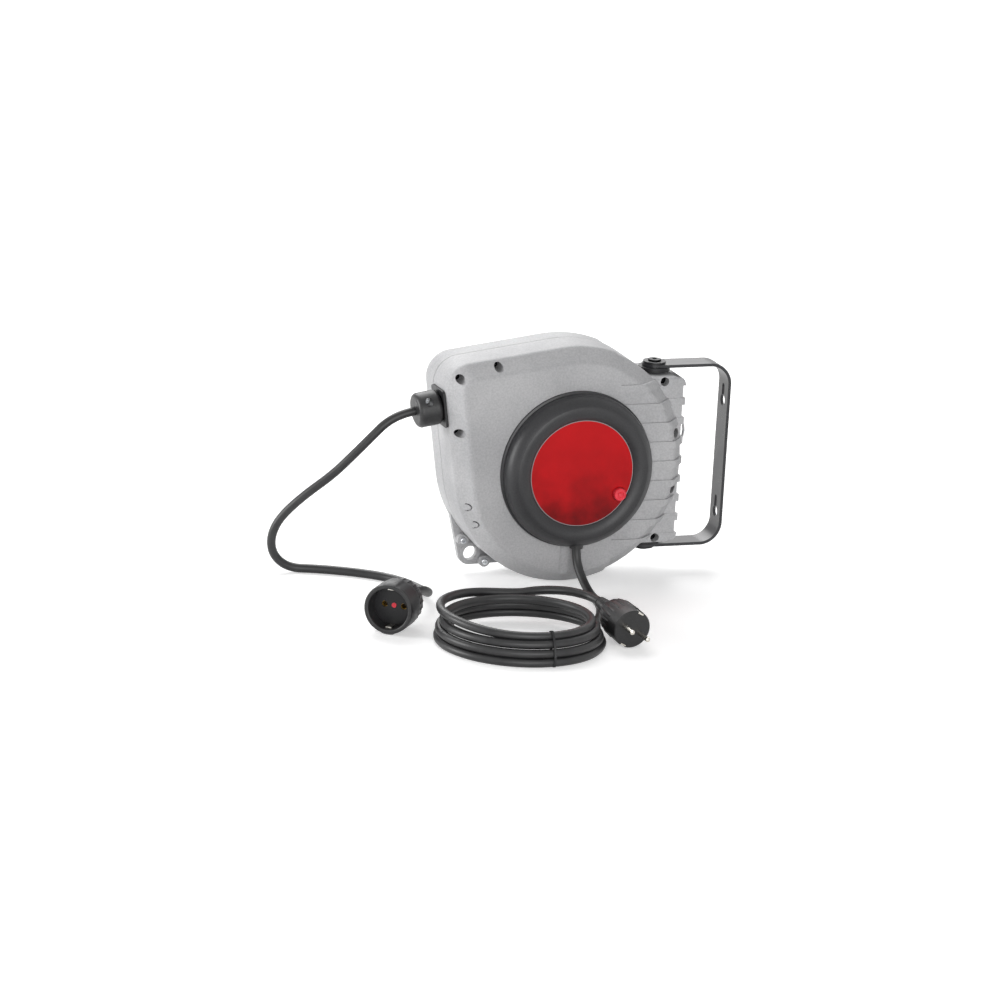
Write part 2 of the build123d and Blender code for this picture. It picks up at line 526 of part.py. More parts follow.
FLOOR_CORD_Z = FLOOR_Z + CORD_R
inner_end = outlet_origin + outward * -112
save("inner_cord", sweep(Plane(origin=outlet_origin + outward * STOPPER_START, z_dir=-outward) * Circle(CORD_R),
                         path=Edge.make_line(outlet_origin + outward * STOPPER_START, inner_end)))
cord_start = outlet_origin + outward * STOPPER_END
first_bend = outlet_origin + outward * (STOPPER_END + 12)
OUTPUT_ROUTE = [
    tuple(cord_start),
    tuple(first_bend),
    (-352, -7.5, 43.5),
    (-364, -5, 30),
    (-379, 0, 12),
    (-397, 9, -11),
    (-421, 21, -34),
    (-439, 34, -58),
    (-445.5, 39.5, -77),
    (-443, 43.5, -94),
    (-434, 45, -106),
    (-421, 44, FLOOR_CORD_Z),
    (-402, 38.5, FLOOR_CORD_Z),
    (-381, 29, FLOOR_CORD_Z),
    (-360, 16.5, FLOOR_CORD_Z),
    (-341, 0, FLOOR_CORD_Z),
    (-328, -21, FLOOR_CORD_Z),
    (-322, -45, FLOOR_CORD_Z),
    (-323, -67, -110),
    (-328.5, -85.5, -104),
    (-338, -99.3, -97.5),
    (-348.5, -111, -93.5),
    (-358.9, -121.8, -92),
]
save("output_cord", cord(OUTPUT_ROUTE, "output_cord"))

SUPPLY_ROUTE = [
    (GLAND_X, GLAND_Y, -70),
    (GLAND_X, GLAND_Y - 0.4, -82),
    (-166, -58, -95),
    (-164.5, -71, -106),
    (-164, -89, FLOOR_CORD_Z),
    (-165.5, -109, FLOOR_CORD_Z),
    (-170, -130, FLOOR_CORD_Z),
    (-177.5, -150, FLOOR_CORD_Z),
    (-187, -169, FLOOR_CORD_Z),
    (-198, -185, FLOOR_CORD_Z),
    (-207, -203, FLOOR_CORD_Z),
]
save("supply_cord_drop", cord(SUPPLY_ROUTE, "supply_cord_drop"))

COIL_X, COIL_Y = -288.0, -221.0
COIL_OUT, COIL_IN, COIL_HEIGHT = 80.0, 54.0, 31.0
coil_middle = Pos((COIL_OUT + COIL_IN) / 2, FLOOR_Z + COIL_HEIGHT / 2)
coil_section = coil_middle * Rectangle(COIL_OUT - COIL_IN, COIL_HEIGHT)
coil_section = fillet(coil_section.vertices(), 5)
coil = Pos(COIL_X, COIL_Y, 0) * revolve(Plane.XZ * coil_section, Axis.Z, 360)
save("supply_coil", coil)
tie_x = COIL_X + 6
tie_y = COIL_Y - (COIL_OUT + COIL_IN) / 2
tie_outer = RectangleRounded(COIL_OUT - COIL_IN + 2.4, COIL_HEIGHT, 4)
tie_inner = RectangleRounded(COIL_OUT - COIL_IN - 1.6, COIL_HEIGHT - 4, 3)
tie_plane = Plane(origin=(tie_x, tie_y, FLOOR_Z + COIL_HEIGHT / 2 + 0.6), x_dir=(0, 1, 0), z_dir=(1, 0, 0))
save("coil_tie", extrude(tie_plane * (tie_outer - tie_inner), amount=1.2, both=True))

TAIL_ROUTE = [
    (-261, -145.5, -90.5),
    (-245, -143, -89.5),
    (-229, -144.5, -89),
    (-213, -150, -89),
    (-201.5, -159, -90),
    (-194, -170, -91),
    (-191.5, -182.5, -92),
]
save("supply_cord_tail", cord(TAIL_ROUTE, "supply_cord_tail"))

# ---- supply plug, pointing along plug_axis ----
plug_start, plug_face = Vector(*TAIL_ROUTE[-1]), Vector(-187, -254, -98)
plug_axis = (plug_face - plug_start).normalized()
PLUG_ROLL = -27
plug_frame = Location(Plane(origin=plug_face, x_dir=plug_axis.cross(Vector(0, 0, 1)), z_dir=plug_axis))
plug_frame = plug_frame * Rot(0, 0, PLUG_ROLL)
PLUG_R = 18.5
PIN_R, PIN_LENGTH, PIN_HALF_PITCH = 2.4, 19.0, 9.5
PLUG_LENGTH = 48.0


def cone_stack(profile):
    """Solid turned about local Z from (z, radius) points."""
    points = [(0, profile[0][0])] + [(radius, z) for z, radius in profile] + [(0, profile[-1][0])]
    return revolve(Plane.XZ * make_face(Polyline(*points, close=True)), Axis.Z, 360)


reach = (plug_face - plug_start).length
plug = cone_stack([(-PLUG_LENGTH, 10), (-PLUG_LENGTH + 6, 15), (-PLUG_LENGTH + 16, 17.5),
                   (-12, PLUG_R), (-1, PLUG_R), (0, PLUG_R - 1)])
for side in (1, -1):
    plug -= Pos(0, side * (PLUG_R - 0.5), -7) * Box(6.4, 4.2, 14.2)
    plug -= Pos(side * PIN_HALF_PITCH, 0, 0) * Cylinder(PIN_R, 8)
save("plug_body", plug_frame * plug)
pins = [Pos(side * PIN_HALF_PITCH, 0, PIN_LENGTH / 2 - 2) * Cylinder(PIN_R, PIN_LENGTH + 4) for side in (1, -1)]
plug_pins = [plug_frame * fillet(pin.edges().sort_by(Axis.Z)[-1], 1.6) for pin in pins]
save_group("plug_pins", plug_pins)
strips = [Pos(0, side * (PLUG_R - 1.7), -7.1) * Box(5.8, 1.4, 13.6) for side in (1, -1)]
save_group("plug_earth_strips", [plug_frame * strip for strip in strips])
relief = cone_stack([(-reach, 5.6), (-PLUG_LENGTH, 8.6)])
save("plug_strain_relief", plug_frame * (relief - Pos(0, 0, -reach + 8) * Cylinder(CORD_R, 20)))

# ---- coupling, its socket open towards the front left ----
COUPLING_TURN = 50.0
coupling_back = Vector(cos(radians(COUPLING_TURN)), sin(radians(COUPLING_TURN)), 0)
cord_end = Vector(*OUTPUT_ROUTE[-1])
COUPLING_R = 24.0
COUPLING_PAD = 1.0         # pads along the top and bottom of the coupling stand out by this
COUPLING_LENGTH = 46.0
RELIEF_LENGTH = 22.0
coupling_rest = Vector(cord_end.X, cord_end.Y, FLOOR_Z + COUPLING_R + COUPLING_PAD)
coupling_face = coupling_rest - coupling_back * (COUPLING_LENGTH + RELIEF_LENGTH)
coupling_frame = Location(Plane(origin=coupling_face, x_dir=(0, 0, 1), z_dir=-coupling_back))
SOCKET_R = 19.6
SOCKET_DEPTH = 17.5
shell = cone_stack([(-COUPLING_LENGTH, 12), (-COUPLING_LENGTH + 7, 19), (-34, 21.5), (-30, 23), (-20, 23.2),
                    (-19, COUPLING_R), (-1, COUPLING_R), (0, COUPLING_R - 1)])
INSERT_DEPTH = 15.0
pad = Box(2 * (COUPLING_R + COUPLING_PAD), 13, 22) - Cylinder(COUPLING_R - 3, 30)
shell += Pos(0, 0, -12.5) * pad
shell -= Pos(0, 0, -SOCKET_DEPTH / 2 - INSERT_DEPTH / 2) * Cylinder(SOCKET_R, SOCKET_DEPTH + INSERT_DEPTH)
shell -= Pos(0, 0, 1) * Cylinder(SOCKET_R, 4)
save("coupling_body", coupling_frame * shell)
insert_z = -SOCKET_DEPTH - INSERT_DEPTH / 2
insert = Pos(0, 0, insert_z) * Cylinder(SOCKET_R - 0.05, INSERT_DEPTH - 0.2)
sleeves = []
for side in (1, -1):
    bore = Pos(0, side * PIN_HALF_PITCH, -SOCKET_DEPTH)
    insert -= bore * Cylinder(2.9, 26)
    sleeve = Pos(0, side * PIN_HALF_PITCH, insert_z) * (Cylinder(2.85, 11) - Cylinder(2.5, 12))
    sleeves.append(coupling_frame * sleeve)
insert -= Pos(0, 0, -SOCKET_DEPTH) * Cylinder(2.4, 6)
save("coupling_insert", coupling_frame * insert)
save_group("coupling_contacts", sleeves)
save("coupling_centre_plug", coupling_frame * (Pos(0, 0, -SOCKET_DEPTH - 1.2) * Cylinder(2.35, 3.2)))
clips = [Pos(side * (SOCKET_R - 1.0), 0, -SOCKET_DEPTH / 2 - 2) * Box(1.4, 5.5, 12) for side in (1, -1)]
save_group("coupling_earth_clips", [coupling_frame * clip for clip in clips])
relief = cone_stack([(-COUPLING_LENGTH - RELIEF_LENGTH, 5.8), (-COUPLING_LENGTH, 9.5)])
relief -= Pos(0, 0, -COUPLING_LENGTH - RELIEF_LENGTH + 8) * Cylinder(CORD_R, 20)
save("coupling_strain_relief", coupling_frame * relief)
print("done")
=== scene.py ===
"""Wall-mounted extension cord reel: finishes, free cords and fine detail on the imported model.

Lengths are in metres in the model's own frame: the origin is the centre of the bracket's wall
face, X points into the wall, Z points up and the front of the reel faces -Y. Sizes written in
millimetres go through `metres`.
"""
import logging
from dataclasses import dataclass
from enum import Enum
from math import cos, pi, radians, sin
from typing import Callable, Sequence

import bmesh
import bpy
from mathutils import Matrix, Vector


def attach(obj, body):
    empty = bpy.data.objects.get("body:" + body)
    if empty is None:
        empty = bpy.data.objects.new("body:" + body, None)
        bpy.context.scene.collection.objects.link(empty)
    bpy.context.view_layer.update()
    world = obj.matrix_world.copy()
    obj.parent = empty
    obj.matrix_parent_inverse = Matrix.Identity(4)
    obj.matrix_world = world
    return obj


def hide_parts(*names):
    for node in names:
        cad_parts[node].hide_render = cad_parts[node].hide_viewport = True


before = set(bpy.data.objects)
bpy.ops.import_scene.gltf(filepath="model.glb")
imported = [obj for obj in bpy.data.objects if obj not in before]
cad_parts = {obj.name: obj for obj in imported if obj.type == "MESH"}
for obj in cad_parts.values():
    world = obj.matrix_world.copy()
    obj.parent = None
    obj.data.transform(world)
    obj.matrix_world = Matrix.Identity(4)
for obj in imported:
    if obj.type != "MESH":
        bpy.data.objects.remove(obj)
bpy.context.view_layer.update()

log = logging.getLogger("cord_reel")
Point = tuple[float, float, float]
Profile = list[tuple[float, float]]
CORD_DIAMETER = 0.0085
CORD_R_MM = 4.25
FLOOR_MM = -117.0
FLOOR_CORD_MM = FLOOR_MM + CORD_R_MM
SHARP_ANGLE = 38.0          # degrees between faces above which an edge stays crisp
NOISE_LOW, NOISE_HIGH = 0.35, 0.65   # the part of a noise's range that nearly all of it fills
POINTS_A_RIB = 8


def metres(*millimetres: float) -> Vector:
    """Point or size in metres from one in millimetres."""
    return Vector(millimetres) / 1000


def linear(code: str) -> tuple[float, float, float, float]:
    """Linear colour of an sRGB hex code.

    Args:
        code: Six hex digits after a hash.

    Returns:
        Red, green, blue and an alpha of one.
    """
    shares = [int(code[n:n + 2], 16) / 255 for n in (1, 3, 5)]
    lit = [share / 12.92 if share <= 0.04045 else ((share + 0.055) / 1.055) ** 2.4 for share in shares]
    return lit[0], lit[1], lit[2], 1.0


def add_node(tree: bpy.types.NodeTree, kind: str, inputs: dict | None = None,
             **settings) -> bpy.types.Node:
    """Add a shader node with its settings and links.

    Args:
        tree: Node tree that gets the node.
        kind: Blender's name of the node's type.
        inputs: Value or linked output for each named or numbered input.
        **settings: Properties of the node itself.

    Returns:
        The new node.
    """
    made = tree.nodes.new(kind)
    for name, value in settings.items():
        setattr(made, name, value)
    for key, value in (inputs or {}).items():
        if isinstance(value, bpy.types.NodeSocket):
            tree.links.new(value, made.inputs[key])
        else:
            made.inputs[key].default_value = value
    return made


# ---------------------------------------------------------------- finishes
class Relief(Enum):
    """How the small relief of a surface lies."""

    GRAIN = "random grain of a spark-eroded mould, a casting or a powder coat"
    DRAWN = "fine lines left along X by rolling, drawing or brushing"
    WOUND = "round strands side by side along Y"


@dataclass(frozen=True)
class Finish:
    """A real material with the surface its making leaves.

    Args:
        name: What it is and how it was made.
        slot: The record's material slot that it belongs to; not used.
        base: Main colour, sRGB hex.
        patch: Colour that it drifts to in slow patches, sRGB hex.
        roughness: Typical roughness.
        grain_mm: Size of the fine relief.
        relief_mm: Height of the fine relief.
        patch_mm: Size of the slow patches.
        spread: Change of roughness between patches.
        metallic: One for bare metal.
        ior: Index of refraction of a non-metal.
        relief: How the fine relief lies.
        speckle: Share of the fine grain in the colour's drift.
        specular: Strength of the surface reflection, 0.5 for a clean surface.
    """

    name: str
    slot: str
    base: str
    patch: str
    roughness: float
    grain_mm: float
    relief_mm: float
    patch_mm: float = 40.0
    spread: float = 0.08
    metallic: float = 0.0
    ior: float = 1.5
    relief: Relief = Relief.GRAIN
    speckle: float = 0.2
    specular: float = 0.5

    def colour(self, tree: bpy.types.NodeTree, place: bpy.types.NodeSocket,
               patches: bpy.types.NodeSocket) -> bpy.types.NodeSocket:
        """Drift between the two colours.

        Args:
            tree: Node tree of the material.
            place: Coordinates on the piece.
            patches: Share of the second colour.

        Returns:
            Colour of the surface.
        """
        mix = add_node(tree, "ShaderNodeMix", {"Factor": patches, "A": linear(self.base),
                                               "B": linear(self.patch)}, data_type="RGBA")
        return mix.outputs["Result"]

    def height(self, tree: bpy.types.NodeTree, place: bpy.types.NodeSocket) -> bpy.types.NodeSocket:
        """Fine relief of the surface.

        Args:
            tree: Node tree of the material.
            place: Coordinates on the piece.

        Returns:
            Height of the relief, between zero and one.
        """
        scale = 1000 / self.grain_mm
        if self.relief is Relief.WOUND:
            wave = add_node(tree, "ShaderNodeTexWave", {"Vector": place, "Scale": scale / 2,
                                                        "Distortion": 0.6}, bands_direction="Y")
            return wave.outputs["Fac"]
        if self.relief is Relief.DRAWN:
            place = add_node(tree, "ShaderNodeMapping", {"Vector": place,
                                                         "Scale": (0.04, 1, 1)}).outputs[0]
        noise = add_node(tree, "ShaderNodeTexNoise", {"Vector": place, "Scale": scale, "Detail": 3.0,
                                                      "Roughness": 0.6})
        return noise.outputs["Fac"]

    def material(self) -> bpy.types.Material:
        """The finish as a material, made the first time that it is asked for."""
        found = bpy.data.materials.get(self.name)
        if found:
            return found
        made = bpy.data.materials.new(self.name)
        made.use_nodes = True
        tree = made.node_tree
        tree.nodes.clear()
        place = add_node(tree, "ShaderNodeTexCoord").outputs["Object"]
        slow = add_node(tree, "ShaderNodeTexNoise", {"Vector": place, "Scale": 1000 / self.patch_mm,
                                                     "Detail": 4.0}).outputs["Fac"]
        patches = add_node(tree, "ShaderNodeMapRange", {"Value": slow, "From Min": NOISE_LOW,
                                                        "From Max": NOISE_HIGH}).outputs["Result"]
        height = self.height(tree, place)
        grain = add_node(tree, "ShaderNodeMapRange", {"Value": height, "From Min": NOISE_LOW,
                                                      "From Max": NOISE_HIGH}).outputs["Result"]
        drift = add_node(tree, "ShaderNodeMix", {0: self.speckle, 2: patches, 3: grain}).outputs[0]
        rough = add_node(tree, "ShaderNodeMapRange", {
            "Value": patches, "To Min": self.roughness - self.spread / 2,
            "To Max": self.roughness + self.spread / 2}).outputs["Result"]
        bump = add_node(tree, "ShaderNodeBump", {"Height": height, "Strength": 1.0,
                                                 "Distance": self.relief_mm / 1000})
        surface = add_node(tree, "ShaderNodeBsdfPrincipled", {
            "Base Color": self.colour(tree, place, drift), "Roughness": rough,
            "Metallic": self.metallic, "Normal": bump.outputs["Normal"]})
        if not self.metallic:
            surface.inputs["IOR"].default_value = self.ior
            surface.inputs["Specular IOR Level"].default_value = self.specular
        add_node(tree, "ShaderNodeOutputMaterial", {"Surface": surface.outputs[0]})
        return made


@dataclass(frozen=True)
class LacqueredSheet(Finish):
    """Printed red sheet with painted shade in patches that deepen towards its foot, and a painted highlight
    round its rim.

    Args:
        painted_shade: Colour of the painted shade at the foot, sRGB hex.
        rim_highlight: Colour of the painted highlight round the rim, sRGB hex.
        centre_mm: Middle of the disc, X and Z.
        foot_mm: Distance below the middle at which the painted shade is strongest.
        highlight_from_mm: Radius at which the painted highlight starts.
    """

    painted_shade: str = "#2E0406"
    rim_highlight: str = "#9A9294"
    centre_mm: tuple[float, float] = (-169.0, 0.0)
    foot_mm: float = 52.0
    highlight_from_mm: float = 51.5

    def colour(self, tree: bpy.types.NodeTree, place: bpy.types.NodeSocket,
               patches: bpy.types.NodeSocket) -> bpy.types.NodeSocket:
        """Colour of the sheet: red, with painted shade towards the foot and a painted highlight at the rim.
        """
        x, z = self.centre_mm
        local = add_node(tree, "ShaderNodeMapping", {
            "Vector": place, "Location": (-x / 1000, 0, -z / 1000), "Scale": (1, 0, 1)}).outputs[0]
        height = add_node(tree, "ShaderNodeSeparateXYZ", {0: local}).outputs["Z"]
        # Painted shade: the red darkens towards the foot of the disc, broken up by the slow random patches.
        low = add_node(tree, "ShaderNodeMapRange", {
            "Value": height, "From Min": self.foot_mm / 2000, "From Max": -self.foot_mm / 1000,
            "To Min": 0.12, "To Max": 0.9}).outputs["Result"]
        painted_shade_mask = add_node(tree, "ShaderNodeMath", {0: low, 1: patches}, operation="MULTIPLY").outputs[0]
        red = add_node(tree, "ShaderNodeMix", {"Factor": painted_shade_mask, "A": linear(self.base),
                                               "B": linear(self.painted_shade)}, data_type="RGBA").outputs["Result"]
        # Painted highlight: a thin pale band round the rim of the disc.
        away = add_node(tree, "ShaderNodeVectorMath", {0: local}, operation="LENGTH").outputs["Value"]
        rim_highlight_mask = add_node(tree, "ShaderNodeMapRange", {
            "Value": away, "From Min": self.highlight_from_mm / 1000,
            "From Max": (self.highlight_from_mm + 0.4) / 1000}).outputs["Result"]
        whole = add_node(tree, "ShaderNodeMix", {"Factor": rim_highlight_mask, "A": red, "B": linear(self.rim_highlight)},
                         data_type="RGBA")
        return whole.outputs["Result"]


# Impact polystyrene from a spark-eroded mould: an even light grey with a fine dry grain.
# The real grain is about 0.3 mm, drawn at 1.9 mm so that it shows.
CASE_GREY = Finish("impact polystyrene, spark eroded, grey", "grey_case", "#BDBDBE", "#A2A2A4", 0.52,
                   1.9, 0.10, patch_mm=60, speckle=0.55, specular=0.3)
# Glass-filled nylon, moulded: charcoal with a satin gleam along its round crest. The real
# texture is about 0.3 mm, drawn at 1.6 mm so that it shows.
COVER_BLACK = Finish("glass-filled nylon, moulded, charcoal", "black_cover", "#303032", "#222224", 0.4,
                     1.6, 0.05, speckle=0.5, specular=0.4)
# Moulded nylon: deep black with a soft even sheen; its texture is drawn coarser than life to show.
NYLON_BLACK = Finish("nylon, moulded, black", "black_plastic", "#18181A", "#202022", 0.42, 1.2, 0.04,
                     specular=0.35)
# Powder-coated strip: near black with a soft orange-peel sheen.
POWDER_COAT = Finish("mild steel strip, powder coated black", "black_steel", "#1D1D20", "#28282C", 0.3,
                     2.2, 0.03, patch_mm=25)
# Black oxide leaves the screws dark and slightly oily.
OXIDE_BLACK = Finish("carbon steel, black oxide", "black_screws", "#101011", "#1A1A1C", 0.4, 0.5, 0.01,
                     patch_mm=4, metallic=1.0)
# Bright zinc: pale grey metal with a faint crystalline drift.
ZINC = Finish("mild steel, zinc plated", "zinc_steel", "#D4D6D8", "#B4B7BB", 0.28, 0.5, 0.01, patch_mm=6,
              metallic=1.0)
# Screen-printed clear sheet: deep red, smooth, with a low sheen; painted shade darkens it towards its foot
# and a painted highlight runs round its rim.
RED_SHEET = LacqueredSheet("polycarbonate sheet, reverse coated red", "red_disc", "#C41017", "#A80B12",
                           0.34, 0.6, 0.004, patch_mm=34, specular=0.15)
# Acetal press button, brighter and slightly waxy beside the sheet.
RED_BUTTON = Finish("acetal, moulded, signal red", "red_button", "#E02C3A", "#EE4654", 0.38, 0.5, 0.01,
                    patch_mm=5, specular=0.3)
# Extruded rubber sheath: dark grey-black, satin, slightly dusty, its fine bloom drawn coarser.
SHEATH = Finish("rubber sheath, extruded", "rubber", "#1B1B1C", "#29292A", 0.44, 1.2, 0.05, patch_mm=14,
                specular=0.45)
# Compression-moulded rubber: matt near-black with a dry mould grain, drawn coarser than life.
PLUG_RUBBER = Finish("rubber, compression moulded", "plug_rubber", "#171718", "#252526", 0.45, 1.2, 0.05,
                     patch_mm=9, speckle=0.5, specular=0.45)
# Hard rubber: a touch greyer than the plug where it is scuffed, its grain drawn coarser than life.
STOPPER_RUBBER = Finish("hard rubber, moulded", "stopper_rubber", "#171718", "#29292A", 0.42, 1.4, 0.07,
                        patch_mm=9, speckle=0.5, specular=0.45)
# Turned brass: warm yellow, bright where the tool left it and browner in the patches.
BRASS = Finish("brass, turned", "brass", "#C8A24A", "#A9822F", 0.3, 0.4, 0.01, patch_mm=5, metallic=1.0)
# Nickel over brass: bright, a touch warmer than zinc.
NICKEL = Finish("brass, nickel plated", "nickel_brass", "#E2DFD8", "#C8C4BB", 0.2, 0.4, 0.006, patch_mm=5,
                metallic=1.0)
# Moulded polypropylene: waxy dark grey with a dull sheen.
DRUM_POLYPROPYLENE = Finish("polypropylene, moulded, black", "drum_plastic", "#242426", "#303033", 0.5,
                            1.2, 0.03)
# Sintered bronze: brown, grainy and slightly dulled by its oil.
BRONZE = Finish("sintered bronze", "bush_bronze", "#9C7440", "#7E5A2E", 0.45, 0.4, 0.02, patch_mm=4,
                metallic=1.0)
# Blued spring steel: slate blue with fine lines left along it by rolling.
SPRING_STEEL = Finish("spring steel, blued and rolled", "spring_steel", "#5A6170", "#434A58", 0.3, 0.6,
                      0.01, metallic=1.0, relief=Relief.DRAWN)
# Turned acetal: creamy, smooth and faintly waxy.
ACETAL = Finish("acetal, turned, ivory", "roller_plastic", "#D9D5C8", "#C7C2B2", 0.4, 0.6, 0.01)
# Cord wound in layers: strands one sheath apart across the drum, dull from rubbing together.
WOUND = Finish("rubber sheath, wound in strands", "rubber", "#232324", "#2F2F30", 0.5, 8.5, 1.2,
               relief=Relief.WOUND)


def dress(finish: Finish, *nodes: str) -> None:
    """Give CAD nodes their finish.

    Args:
        finish: The finish.
        *nodes: Names of the nodes.
    """
    for name in nodes:
        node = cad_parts[name]
        if not node.material_slots:
            node.data.materials.append(None)
        for place in node.material_slots:
            place.material = finish.material()
        log.info("dressed %s in %s", name, finish.name)


def mesh_piece(name: str, points: Sequence[Vector], faces: Sequence[Sequence[int]], finish: Finish,
               body: str = "case") -> bpy.types.Object:
    """Make a smooth mesh piece that rides on a body.

    Args:
        name: Name of the piece.
        points: Its points in the model's frame.
        faces: Point numbers of each face.
        finish: Its finish.
        body: CAD body that carries it.

    Returns:
        The new piece.
    """
    mesh = bpy.data.meshes.new(name)
    mesh.from_pydata([tuple(point) for point in points], [], [tuple(face) for face in faces])
    mesh.validate()
    shaped = bmesh.new()
    shaped.from_mesh(mesh)
    bmesh.ops.recalc_face_normals(shaped, faces=shaped.faces)
    shaped.to_mesh(mesh)
    shaped.free()
    mesh.materials.append(finish.material())
    mesh.polygons.foreach_set("use_smooth", [True] * len(mesh.polygons))
    mesh.set_sharp_from_angle(angle=radians(SHARP_ANGLE))
    piece = bpy.data.objects.new(name, mesh)
    bpy.context.scene.collection.objects.link(piece)
    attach(piece, body)
    log.info("built %s, %d faces", name, len(mesh.polygons))
    return piece


def turned_piece(name: str, face: Vector, axis: Vector, profile: Profile, finish: Finish,
                 segments: int = 72, swell: Callable[[float, float], float] | None = None,
                 zero: Vector | None = None, body: str = "case") -> bpy.types.Object:
    """Make a closed piece turned about an axis.

    Args:
        name: Name of the piece.
        face: Point on the axis that the profile's distances count from, in metres.
        axis: Unit direction of the axis.
        profile: Distance along the axis and radius of each station, in millimetres.
        finish: Its finish.
        segments: Points round each station.
        swell: Extra radius in millimetres at an angle and a distance, for flutes and ribs.
        zero: Unit direction of angle zero, square to the axis.
        body: CAD body that carries it.

    Returns:
        The new piece.
    """
    side = zero if zero else axis.orthogonal().normalized()
    across = axis.cross(side)
    points, faces = [], []
    for distance, radius in profile:
        for n in range(segments):
            angle = 2 * pi * n / segments
            full = radius + (swell(angle, distance) if swell else 0.0)
            points.append(face + axis * (distance / 1000)
                          + (side * cos(angle) + across * sin(angle)) * (full / 1000))
    for row in range(len(profile) - 1):
        for n in range(segments):
            here, after = row * segments + n, row * segments + (n + 1) % segments
            faces.append((here, after, after + segments, here + segments))
    faces.append(tuple(reversed(range(segments))))
    faces.append(tuple(range((len(profile) - 1) * segments, len(profile) * segments)))
    return mesh_piece(name, points, faces, finish, body)


def cord_curve(name: str, route_mm: Sequence[Point], finish: Finish) -> bpy.types.Object:
    """Make a round cord on one smooth spline.

    Args:
        name: Name of the piece.
        route_mm: Control points in millimetres.
        finish: Its finish.

    Returns:
        The cord, riding on the case.
    """
    curve = bpy.data.curves.new(name, "CURVE")
    curve.dimensions = "3D"
    curve.bevel_depth = CORD_DIAMETER / 2
    curve.bevel_resolution = 7
    curve.resolution_u = 10
    curve.use_fill_caps = True
    spline = curve.splines.new("NURBS")
    spline.points.add(len(route_mm) - 1)
    for point, place in zip(spline.points, route_mm):
        point.co = (*metres(*place), 1.0)
    spline.order_u = 3
    spline.use_endpoint_u = True
    curve.materials.append(finish.material())
    piece = bpy.data.objects.new(name, curve)
    bpy.context.scene.collection.objects.link(piece)
    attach(piece, "case")
    log.info("laid %s on %d control points", name, len(route_mm))
    return piece


def ribbed_taper(start: float, end: float, r_start: float, r_end: float, ribs: int,
                 depth: float) -> Profile:
    """Profile of a taper with round ribs across it.

    Args:
        start: First distance along the axis, mm.
        end: Last distance, mm.
        r_start: Radius at the first distance, mm.
        r_end: Radius at the last distance, mm.
        ribs: Number of ribs.
        depth: Depth of the grooves between them, mm.

    Returns:
        Distance and radius of each station.
    """
    steps = ribs * POINTS_A_RIB
    profile = []
    for n in range(steps + 1):
        share = n / steps
        groove = depth * (0.5 + 0.5 * cos(2 * pi * ribs * share)) if 0 < n < steps else 0.0
        profile.append((start + (end - start) * share, r_start + (r_end - r_start) * share - groove))
    return profile


# ---------------------------------------------------------------- sub-assemblies
@dataclass
class Bracket:
    """Wall bracket with the bolts and washers of its swivel."""

    strip: tuple[str, ...] = ("wall_bracket",)
    bolts: tuple[str, ...] = ("pivot_bolts",)
    washers: tuple[str, ...] = ("pivot_cap_washers", "pivot_spacer_washers")

    def dress(self) -> None:
        """Powder coat the strip, blacken the bolts and leave the washers in nylon."""
        dress(POWDER_COAT, *self.strip)
        dress(OXIDE_BLACK, *self.bolts)
        dress(NYLON_BLACK, *self.washers)


